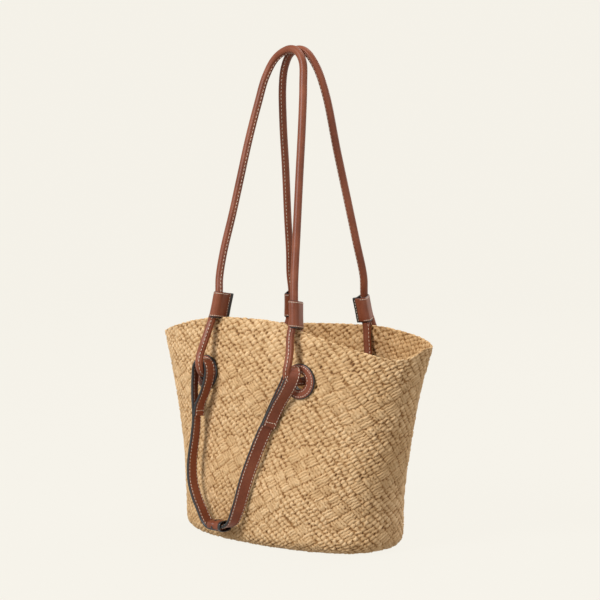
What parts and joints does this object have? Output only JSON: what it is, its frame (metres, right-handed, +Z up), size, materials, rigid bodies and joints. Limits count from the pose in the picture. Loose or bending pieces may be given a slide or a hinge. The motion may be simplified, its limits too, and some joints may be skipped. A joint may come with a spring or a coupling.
{
  "type": "beach bag",
  "caption": "Flared oval woven straw tote with long rolled leather shoulder handles through stitched eyelets and short leather strap handles.",
  "frame": {"origin": "centre of the bag's overall width and depth, on the surface it stands on", "axes": "+X along the long side of the oval, +Y from the front to the back, +Z up"},
  "size_m": [0.3702, 0.1948, 0.5352],
  "materials": {
    "straw": "matte plaited palm straw",
    "leather": "satin reddish brown with black painted edges and cream stitches",
    "rope_core": "matte cotton rope"
  },
  "bodies": {
    "basket": {"basket_wall": "straw", "basket_base": "straw", "front_left_eyelet_outside": "leather", "front_left_eyelet_inside": "leather", "front_left_cord_loop": "leather", "front_left_cord_loop_core": "rope_core", "front_right_eyelet_outside": "leather", "front_right_eyelet_inside": "leather", "front_right_cord_loop": "leather", "front_right_cord_loop_core": "rope_core", "back_left_eyelet_outside": "leather", "back_left_eyelet_inside": "leather", "back_left_cord_loop": "leather", "back_left_cord_loop_core": "rope_core", "back_right_eyelet_outside": "leather", "back_right_eyelet_inside": "leather", "back_right_cord_loop": "leather", "back_right_cord_loop_core": "rope_core"},
    "front_handle": {"front_left_cord_end": "leather", "front_left_keeper": "leather", "front_right_cord_end": "leather", "front_right_keeper": "leather", "front_handle": "leather", "front_handle_core": "rope_core"},
    "back_handle": {"back_left_cord_end": "leather", "back_left_keeper": "leather", "back_right_cord_end": "leather", "back_right_keeper": "leather", "back_handle": "leather", "back_handle_core": "rope_core"},
    "front_strap": {"front_strap_left": "leather", "front_strap_right": "leather", "front_strap_sleeve": "leather"},
    "back_strap": {"back_strap_left": "leather", "back_strap_right": "leather", "back_strap_sleeve": "leather"}
  },
  "joints": [
    {"name": "front_handle_swing", "type": "hinge", "parent": "basket", "child": "front_handle", "pos_m": [0, -0.07037, 0.24341], "axis": [1, 0, 0], "range_deg": [0, 150]},
    {"name": "back_handle_swing", "type": "hinge", "parent": "basket", "child": "back_handle", "pos_m": [0, 0.07037, 0.23981], "axis": [-1, 0, 0], "range_deg": [0, 150]},
    {"name": "front_strap_swing", "type": "hinge", "parent": "basket", "child": "front_strap", "pos_m": [0, -0.0754, 0.195], "axis": [-1, 0, 0], "range_deg": [0, 30]},
    {"name": "back_strap_swing", "type": "hinge", "parent": "basket", "child": "back_strap", "pos_m": [0, 0.0754, 0.195], "axis": [1, 0, 0], "range_deg": [0, 30]}
  ]
}
